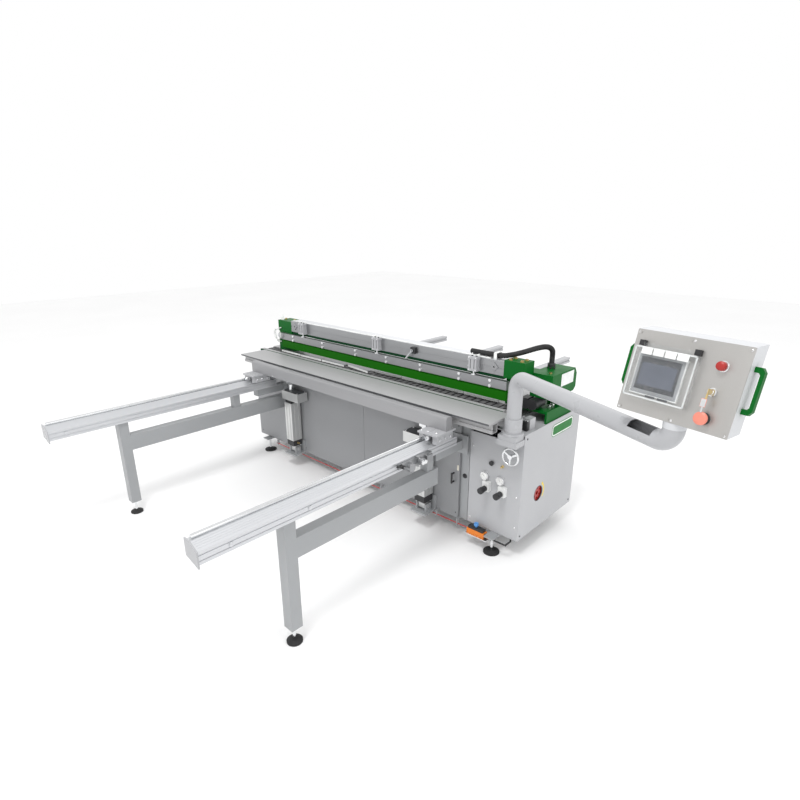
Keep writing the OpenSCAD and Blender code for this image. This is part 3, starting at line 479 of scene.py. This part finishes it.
def make_panel():
    """Screen, clear cover's trim, lamp, key, stop button and screws of the control box."""
    lamp, lock, stop = on_panel(122, 0, 74), on_panel(115, 0, -14), on_panel(114, 0, -104)
    paint("control_box", "green", lambda c, n: abs(panel_coords(c).x) > 201)
    paint("control_plate", "black", lambda c, n: panel_coords(c).z > 91 and panel_coords(c).y < -3
          and abs(panel_coords(c).x) < 175 and panel_coords(c).z < 113)
    paint("control_plate", "label", lambda c, n: -166 < panel_coords(c).x < 14
          and -81 < panel_coords(c).z < 71 and panel_coords(c).y < -0.5)
    bm = bmesh.new()
    add_block(bm, mm(-152, -9.2, -62), mm(-2, -7.8, 56), 0.0012, 0, PANEL)
    piece("screen_surround", bm, ["smoke"], "box_body")
    bm = bmesh.new()
    add_block(bm, mm(-143, -9.9, -45), mm(-13, -8.8, 35), 0.001, 0, PANEL)
    piece("touch_screen", bm, ["screen"], "box_body")
    bm = bmesh.new()
    add_block(bm, mm(-162, -8.6, -76), mm(9, -7.9, 68), 0.0004, 0, PANEL)
    piece("screen_bezel", bm, ["frame"], "box_body")
    bm = bmesh.new()
    for k in range(4):
        add_block(bm, mm(-150 + 44 * k, -27.2, 64), mm(-110 + 44 * k, -25.8, 89), 0.0005, 0, PANEL)
    piece("cover_header", bm, ["label"], "cover_body")
    bm = bmesh.new()
    for lo, hi in (((-178, -27, -92), (50, -24, -86)), ((-178, -27, -92), (-172, -24, 90)),
                   ((44, -27, -92), (50, -24, 90)), ((-178, -27, 84), (50, -24, 90))):
        add_block(bm, mm(*lo), mm(*hi), 0.001, 0, PANEL)
    piece("cover_rim", bm, ["hose"], "cover_body")
    bm = bmesh.new()
    for x in (-70, -24):
        add_block(bm, mm(x - 20, -28, -84), mm(x + 16, -26, -77), 0.0008, 0, PANEL)
    piece("cover_pull", bm, ["dark"], "cover_body")
    bm = bmesh.new()
    add_turned(bm, lamp, OUT, mm_profile([(19, 0), (19, 3), (17, 5), (15.6, 5), (15.6, 6)]), 0)
    add_turned(bm, lamp, OUT,
               mm_profile([(15.4, 4), (15.4, 19), (14.5, 22), (11, 24.5), (5, 25.6), (0, 25.8)]), 1)
    piece("power_lamp", bm, ["chrome", "red"], "box_body")
    bm = bmesh.new()
    add_turned(bm, lock, OUT,
               mm_profile([(15.4, 0), (15.4, 7), (14, 9), (10.2, 9.4), (9.3, 9.2), (9.3, 6.5)]), 0)
    piece("key_ring", bm, ["chrome"], "box_body")
    bm = bmesh.new()
    add_turned(bm, lock, OUT,
               mm_profile([(0, 11.9), (8.8, 11.9), (8.8, 14), (7.6, 15.5), (0, 15.5)]), 0)
    add_block(bm, mm(103, -36, -66), mm(121, -33.5, -38), 0.001, 1, PANEL)
    add_block(bm, mm(110, -35.5, -84), mm(116, -33.8, -60), 0.0006, 0, PANEL)
    piece("key_bunch", bm, ["chrome", "coral"], "key_body")
    bm = bmesh.new()
    add_turned(bm, stop, OUT,
               mm_profile([(0, 17.5), (16, 17.5), (21, 19), (22.4, 23), (22.4, 28), (21, 32),
                           (17, 34.4), (8, 35.4), (0, 35.6)]), 0, 56)
    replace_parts(piece("stop_head", bm, ["coral"], "stop_body"), "stop_button")
    bm = bmesh.new()
    add_turned(bm, stop, OUT, mm_profile([(20.4, 0), (20.4, 5), (18, 7), (12, 7), (12, 5)]), 0)
    piece("stop_collar", bm, ["black"], "box_body")
    places = [on_panel(x, 0, z) for x in (-190, 12, 190) for z in (-141, 139)]
    make_screws("panel_screws", places, OUT, 0.0045, "box_body")


def make_conduit():
    """Corrugated hose that stands for the plain CAD tube."""
    route = [at(*p) for p in (
        (760, -128, 1118.4), (830, -128, 1118.4), (900, -128, 1118.6), (950, -127, 1119.4),
        (990, -121, 1123), (1030, -104, 1133), (1065, -76, 1144), (1095, -42, 1156),
        (1120, -4, 1166), (1141, 30, 1171), (1157, 55, 1169), (1168, 70, 1160),
        (1174, 79, 1146), (1175, 82, 1127), (1175, 82, 1106), (1175, 82, 1056))]
    centres = smooth_path(route, 14)
    radii = [0.0158 if k % 2 else 0.0142 for k in range(len(centres))]
    bm = bmesh.new()
    add_sweep(bm, centres, radii, 0, 24)
    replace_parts(piece("corrugated_hose", bm, ["rubber"], "machine", 60), "beam_conduit")
    bm = bmesh.new()
    hexagon = [(25, 0), (25, 9), (23, 11), (22.6, 27), (21, 30), (17, 31), (16.4, 31), (16.4, 20)]
    add_turned(bm, at(*GLAND, 1044), (0, 0, 1), mm_profile(hexagon), 0, 6)
    nut = [(22.5, 0), (22.5, 14), (20, 17), (16.5, 17.5)]
    add_turned(bm, at(*GLAND, 1056), (0, 0, 1), mm_profile(nut), 0)
    piece("hose_gland", bm, ["black"], "machine")
    bm = bmesh.new()
    for y in (-153, -103):
        add_block(bm, at(932, y, 1102), at(952, y + 2, 1136), 0.0006)
    add_block(bm, at(932, -153, 1134), at(952, -101, 1137), 0.0008)
    piece("hose_clip", bm, ["label"], "machine")


def make_side_marks():
    """Rim of the side opening, turning arrow, plain plates and screws of the right side."""
    bm = bmesh.new()
    centre = at(SIDE_X, DRIVE_Y, DRIVE_Z)
    rim = [(44.8, -2.8), (48.5, -2.8), (48.5, 0.6), (44.8, 0.6), (44.8, -2.8)]
    add_turned(bm, centre, (1, 0, 0), mm_profile(rim), 0, 64)
    piece("opening_rim", bm, ["dark"], "machine")
    bm = bmesh.new()
    arc = [centre + Vector((0.0002, 0.064 * cos(a), 0.064 * sin(a)))
           for a in (radians(-38 + 6 * k) for k in range(15))]
    ribbon(bm, arc, 0.005, Vector((1, 0, 0)))
    tip = arc[-1]
    ahead = (arc[-1] - arc[-2]).normalized()
    side = ahead.cross(Vector((1, 0, 0)))
    corners = [tip + side * 0.011, tip - side * 0.011, tip + ahead * 0.02]
    low = [bm.verts.new(c) for c in corners]
    high = [bm.verts.new(c + Vector((0.0004, 0, 0))) for c in corners]
    bm.faces.new(low)
    bm.faces.new(high)
    for k in range(3):
        bm.faces.new([low[k], low[(k + 1) % 3], high[(k + 1) % 3], high[k]])
    piece("turning_arrow", bm, ["yellow"], "machine")
    bm = bmesh.new()
    for depth, grow, slot in ((0.5, 0, 0), (0.8, -4, 1), (1.1, -12, 0)):
        add_plate(bm, at(SIDE_X, 108, 702), 262 + 2 * grow, 76 + 2 * grow, 26 + grow, depth, slot)
    piece("side_plate", bm, ["label_green", "label"], "machine")
    bm = bmesh.new()
    add_plate(bm, at(SIDE_X, 105, 997), 150, 72, 3, 0.7, 0)
    piece("housing_plate", bm, ["label"], "machine")
    screws = [at(SIDE_X, y, z) for y, z in ((-300, 740), (300, 740), (-300, 140), (300, 140))]
    make_screws("side_screws", screws, (1, 0, 0), 0.0055, "machine", "black")


def ribbon(bm, line, half, normal):
    """A thin flat band along a line."""
    rings = []
    last = len(line) - 1
    for k, p in enumerate(line):
        ahead = (line[min(k + 1, last)] - line[max(k - 1, 0)]).normalized()
        side = ahead.cross(normal) * half
        rings.append([bm.verts.new(q) for q in (p - side, p + side, p + side + normal * 0.0004,
                                                 p - side + normal * 0.0004)])
    for low, high in zip(rings, rings[1:]):
        for j in range(4):
            bm.faces.new([low[j], low[(j + 1) % 4], high[(j + 1) % 4], high[j]])
    bm.faces.new(rings[0])
    bm.faces.new(rings[-1])


def add_plate(bm, centre, width, height, radius, depth, slot):
    """A thin plate with round corners on a face that looks along +X; sizes in millimetres."""
    outline = []
    for cy, cz, start in ((1, 1, 0), (-1, 1, 90), (-1, -1, 180), (1, -1, 270)):
        for k in range(9):
            a = radians(start + 90 * k / 8)
            outline.append(Vector((0, cy * (width / 2 - radius) + radius * cos(a),
                                   cz * (height / 2 - radius) + radius * sin(a))) / 1000)
    low = [bm.verts.new(centre + p) for p in outline]
    high = [bm.verts.new(centre + p + Vector((depth / 1000, 0, 0))) for p in outline]
    faces = [bm.faces.new(low), bm.faces.new(high)]
    for k in range(len(low)):
        n = (k + 1) % len(low)
        faces.append(bm.faces.new([low[k], low[n], high[n], high[k]]))
    for f in faces:
        f.material_index = slot


def make_front_marks():
    """Latches, tag, door handle, air fitting and screws of the front."""
    bm = bmesh.new()
    for z in (564, 408):
        add_turned(bm, at(893, -329, z), (0, -1, 0),
                   mm_profile([(15, 0), (15, 3), (13.5, 5), (9, 6), (0, 6)]))
        add_block(bm, at(889.5, -338, z - 9), at(896.5, -334, z + 9), 0.001)
    piece("column_latches", bm, ["black"], "machine")
    bm = bmesh.new()
    add_block(bm, at(846, -347, 436), at(858, -344.6, 470), 0.0006)
    piece("pale_tag", bm, ["ivory"], "machine")
    bm = bmesh.new()
    for x, z in ((824, 412), (824, 356)):
        add_turned(bm, at(x, WALL_Y, z), (0, -1, 0), mm_profile([(5, 0), (5, 24), (0, 24)]))
    add_block(bm, at(818, -373, 348), at(830, -365, 420), 0.0035)
    piece("door_handle", bm, ["black"], "machine")
    bm = bmesh.new()
    add_turned(bm, at(1146, END_Y, 549), (0, -1, 0),
               mm_profile([(9, 0), (9, 6), (6.5, 8), (6.5, 20), (4, 21), (0, 21)]), 0, 6)
    piece("air_fitting", bm, ["brass"], "machine")
    screws = [at(x, END_Y, z) for x, z in ((1243, 387), (1246, 196), (940, 620), (940, 150))]
    make_screws("end_panel_screws", screws, (0, -1, 0), 0.006, "machine")
    screws = [at(x, WALL_Y, z) for x in (-1240, -640, -128, -96, 380, 846) for z in (150, 720)]
    make_screws("wall_screws", screws, (0, -1, 0), 0.005, "machine", "dark")


def make_gauges():
    """Pressure gauges flat on the end panel: rim, dial, tick marks and needle."""
    rim = [(24, -14), (26.5, -12), (26.5, 1), (25.5, 3), (23, 3.6), (22.6, 1.2), (22.6, -14), (24, -14)]
    for k, x in enumerate(GAUGE_XS):
        centre = at(x, -342, GAUGE_Z)
        bm = bmesh.new()
        add_turned(bm, centre, (0, -1, 0), mm_profile(rim), 0, 48)
        add_turned(bm, centre, (0, -1, 0), mm_profile([(22.7, -10), (22.7, 0.8), (0, 0.8)]), 1, 48)
        for tick in range(11):
            a = radians(225 - 27 * tick)
            where = centre + Vector((cos(a), -0.05, sin(a))) * 0.0182
            turn = Matrix.Translation(where) @ Matrix.Rotation(-a, 4, "Y")
            add_block(bm, mm(-2.2, -0.25, -0.4), mm(2.2, 0.25, 0.4), 0, 2, turn)
        needle = (Matrix.Translation(centre + Vector((0, -0.0013, 0)))
                  @ Matrix.Rotation(radians(-150 + 35 * k), 4, "Y"))
        add_block(bm, mm(-3, -0.3, -0.6), mm(15, 0.3, 0.6), 0, 2, needle)
        piece(f"gauge_{k}", bm, ["bolt", "dial", "dark"], "machine")


def make_air_lines():
    """White air tubes along the beam's top, with an elbow into each clamp cylinder."""
    screw = [(4.2, -1), (4.2, 1.6), (3.2, 2.4), (2, 2.4), (2, 1), (0, 1)]
    for k, x in enumerate(CLAMP_XS):
        bm = bmesh.new()
        for side in (-1, 1):
            foot = [at(x + 15 * side, -192, 1100), at(x + 15 * side, -192, 1110),
                    at(x + 18 * side, -188, 1116), at(x + 26 * side, -176, 1118)]
            add_sweep(bm, smooth_path(foot, 6), 0.003, 1, 10)
            add_turned(bm, at(x + 15 * side, -192, 1105.5), (0, 0, 1),
                       mm_profile([(5.5, 0), (5.5, 5), (4, 6.5), (0, 6.5)]), 0, 6)
        for z in (1020, 1092):
            for px in (-23, 23):
                add_turned(bm, at(x + px, -213, z + 7), (0, -1, 0), mm_profile(screw), 2, 16)
        for px in (-13, 13):
            add_block(bm, at(x + px - 1.5, -212.4, 1035), at(x + px + 1.5, -210.6, 1091), 0.0004, 0)
        piece(f"clamp_cylinder_fittings_{k}", bm, ["black", "label", "bolt"], "machine")
    bm = bmesh.new()
    for y in (-170, -163):
        line = [at(x, y, 1105.2 + 0.8 * sin(x / 90)) for x in range(-940, 921, 30)]
        add_sweep(bm, line, 0.0028, 0, 10)
    for x in range(-900, 901, 200):
        add_block(bm, at(x - 4, -175, 1101.9), at(x + 4, -158, 1109), 0.0006, 1)
    piece("air_tubes", bm, ["label", "alu_x"], "machine")


def make_left_end():
    """Tube loop and stubs of the left end block, and the bar's pale end."""
    bm = bmesh.new()
    ring = [at(-1100 + 44 * cos(a), -222, 985 + 44 * sin(a))
            for a in (radians(150 - 15 * k) for k in range(26))]
    loop = [at(-1096, -182, 1034), at(-1126, -200, 1022), *ring, at(-1128, -206, 928), at(-1110, -178, 918)]
    add_sweep(bm, smooth_path(loop, 3), 0.0045, 0, 12)
    for x in (-1124, -1104):
        add_turned(bm, at(x, -150, 1091.5), (0, 0, 1),
                   mm_profile([(7, 0), (7, 5), (4.5, 6), (4.5, 46), (3.5, 48), (0, 48)]), 0, 20)
    piece("end_tube_loop", bm, ["label"], "machine")
    bm = bmesh.new()
    add_turned(bm, at(-1086, -192, 973), (-1, 0, 0),
               mm_profile([(19, 0), (19, 20), (16, 24), (16, 30), (9, 31), (9, 20), (0, 20)]), 0, 32)
    piece("bar_end_stub", bm, ["alu_x"], "clamp_body")


def make_rail_ribs():
    """Fine ribs along the guide rails' sloping tops."""
    slope = Vector((47, 0, -22)).normalized()
    for side, middle in RAILS:
        bm = bmesh.new()
        for run in (8, 19, 30, 41):
            top = at(middle - 12, RAIL_END_Y, 722) + slope * run / 1000
            foot = Vector((0, 1.540, 0))
            line = [top, top + foot * 0.5, top + foot]
            add_sweep(bm, line, 0.0013, 0, 6)
        piece(f"rail_ribs_{side}", bm, ["alu_y"], "machine")


def make_carriage_parts():
    """Screws and knobs of the two carriages and of the stop unit."""
    for side, middle in RAILS:
        bm = bmesh.new()
        for dx, dy in ((-52, -632), (-52, -508), (-8, -632), (-8, -508), (44, -622), (44, -518)):
            add_turned(bm, at(middle + dx, dy, 757), (0, 0, 1),
                       mm_profile([(7, 8.9), (7, 13), (6, 14), (3.4, 14), (3.4, 12), (0, 12)]), 0, 20)
        for dy in (-616, -570, -524):
            add_turned(bm, at(middle - 64, dy, 741), (-1, 0, 0),
                       mm_profile([(6, -0.5), (6, 3), (5, 4), (3, 4), (3, 2), (0, 2)]), 1, 20)
            add_turned(bm, at(middle + 60, dy, 730), (1, 0, 0),
                       mm_profile([(8, -0.5), (8, 6), (6.5, 8), (3.4, 8), (3.4, 5), (0, 5)]), 1, 20)
        add_turned(bm, at(middle + 20, -655, 748), (0, -1, 0),
                   mm_profile([(4, -2), (4, 10), (11, 12), (12, 15), (12, 22), (10, 25), (0, 26)]), 1, 24)
        piece(f"carriage_screws_{side}", bm, ["bolt", "chrome"], "gauge_body")
    bm = bmesh.new()
    for y in (-786, -766):
        add_turned(bm, at(944, y, 666), (1, 0, 0),
                   mm_profile([(10, -1), (12, 3), (12, 8), (10, 10), (0, 10)]), 0, 24)
    for y in (-790, -738, -708):
        for z in (648, 686):
            add_turned(bm, at(928, y, z), (1, 0, 0),
                       mm_profile([(4.5, -0.5), (4.5, 3), (3.6, 4), (2, 4), (2, 2), (0, 2)]), 1, 18)
    piece("stop_unit_knobs", bm, ["chrome", "bolt"], "machine")


def make_deck_parts():
    """Black box with studs and a pipe with fittings, on the deck beside the post."""
    bm = bmesh.new()
    add_block(bm, at(1205, -262, 764), at(1240, -242, 820), 0.003, 0)
    for k in range(3):
        add_turned(bm, at(1212 + 11 * k, -252, 819), (0, 0, 1),
                   mm_profile([(4, 0), (4, 6), (3, 7), (0, 7)]), 1, 16)
    add_turned(bm, at(1184, -250, 764), (0, 0, 1),
               mm_profile([(10, 0), (10, 16), (7, 17), (7, 38), (9, 39), (9, 50), (6, 52), (0, 52)]), 1, 24)
    for z in (784, 802):
        add_turned(bm, at(1184, -256, z), (0, -1, 0),
                   mm_profile([(5, 0), (5, 14), (7, 15), (7, 22), (4, 23), (0, 23)]), 1, 16)
    piece("deck_fittings", bm, ["black", "chrome"], "machine")


def make_lift_parts():
    """Tie-rod nuts, hose barbs and screws of the lift cylinders."""
    for side, x, inner in LIFTS:
        bm = bmesh.new()
        for dx in (-31, 31):
            for dy in (-31, 31):
                add_turned(bm, at(x + dx, LIFT_Y + dy, 184.5), (0, 0, -1),
                           mm_profile([(6, -1), (6, 5), (3, 6), (3, 10), (0, 10)]), 0, 6)
        for z in (206, 548):
            add_turned(bm, at(x + 39 * inner, LIFT_Y, z), (inner, 0, 0),
                       mm_profile([(7, -3), (7, 5), (5, 6), (5, 14), (6.4, 15), (6.4, 20), (0, 20)]), 1, 20)
        for dx in (-46, 120):
            for dy in (-36, 36):
                add_turned(bm, at(x + dx * inner, LIFT_Y + dy, 629.8), (0, 0, 1),
                           mm_profile([(6, -0.5), (6, 1), (5, 4), (2.8, 4), (2.8, 2), (0, 2)]), 0, 18)
        piece(f"lift_fittings_{side}", bm, ["bolt", "brass"], f"lift_{side}")


def make_bolts():
    """Hexagon nuts on the end blocks and the housing, and the housing's cap screws."""
    bm = bmesh.new()
    large = mm_profile([(13, 0), (13, 2), (10, 2), (10, 8), (9, 9), (0, 9)])
    middle = mm_profile([(11, 0), (11, 2), (9, 2), (9, 9), (8, 10), (0, 10)])
    small = mm_profile([(10, 0), (10, 2), (8, 2), (8, 8), (0, 8)])
    for x in (1046, 1118):
        for y in (-152, -102):
            add_turned(bm, at(x, y, 1112), (0, 0, 1), large, 0, 6)
    for x in (-1115, -1000):
        add_turned(bm, at(x, -115, 1092), (0, 0, 1), middle, 0, 6)
    add_turned(bm, at(1230, -30, 1043), (0, 0, 1), small, 0, 6)
    piece("end_block_nuts", bm, ["brass"], "machine")
    bm = bmesh.new()
    cap = mm_profile([(12, -10), (12, 2), (10.5, 4), (5, 4.3), (5, 1), (0, 1)])
    for y in (0, 40):
        add_turned(bm, at(1226, y, 845.9), (0, 0, 1), cap)
    piece("cap_screws", bm, ["bolt"], "machine")


FEATURES = [make_panel, make_conduit, make_side_marks, make_front_marks, make_gauges, make_air_lines,
            make_left_end, make_rail_ribs, make_carriage_parts, make_deck_parts, make_lift_parts,
            make_bolts]
BEVELLED = ["front_table", "fixed_bed", "clamp_bar", "clamp_beam", "clamp_jaw", "gauge_beam",
            "end_block_left", "end_block_right", "drive_housing", "control_box", "clamp_cylinders",
            "lift_cylinder_left", "lift_cylinder_right", "carriage_left", "carriage_right",
            "arm_frame_left", "arm_frame_right", "rope_switch"]


def paint_details():
    """Second finishes of CAD nodes that are made of more than one material, and a painted highlight on the
    slot covers' front lips.
    """
    paint("levelling_feet", "chrome", lambda c, n: c.z > 19)
    for side, middle in RAILS:
        name = f"arm_rail_{side}"
        paint(name, "chrome",
              lambda c, n, m=middle: c.z > 721 and abs(c.x - m + 30) < 10.5 and c.y > -1990)
        paint(name, "white", lambda c, n: c.y < -1993.9)
    for name in ("lift_cylinder_left", "lift_cylinder_right"):
        paint(name, "black", lambda c, n: 183 <= c.z < 229.1 or 535.1 < c.z < 561.9)
        paint(name, "dark", lambda c, n: c.z > 629.5)
    paint("clamp_beam", "deep_green", lambda c, n: c.z < 1017.9)
    paint("clamp_beam", "black", lambda c, n: c.y < -177 and 320 < c.x < 376)
    paint("clamp_beam", "alu_x", lambda c, n: n.z > 0.9 and c.z > 1101)
    paint("front_table", "dark", lambda c, n: c.y < -504.9 and c.z > 839)
    paint("rope_switch", "bolt", lambda c, n: c.z < 82.1 and c.x < 1107 and abs(c.z - 82) > 0.005)
    paint("rope_switch", "black", lambda c, n: c.z > 112.1 or c.x > 1082.5 and c.z > 86)
    # Painted highlight: the steel slot covers' front lips get the white label film, standing for their
    # bright specular reflection, not their own colour.
    paint("slot_covers", "label", lambda c, n: n.y < -0.7)
    paint("fixed_bed", "deep_green", lambda c, n: c.y < -274.9)


make_camera()
dress_cad()
paint_details()
for feature in FEATURES:
    feature()
for node in BEVELLED:
    bevel_node(node)
make_floor()
make_lights()
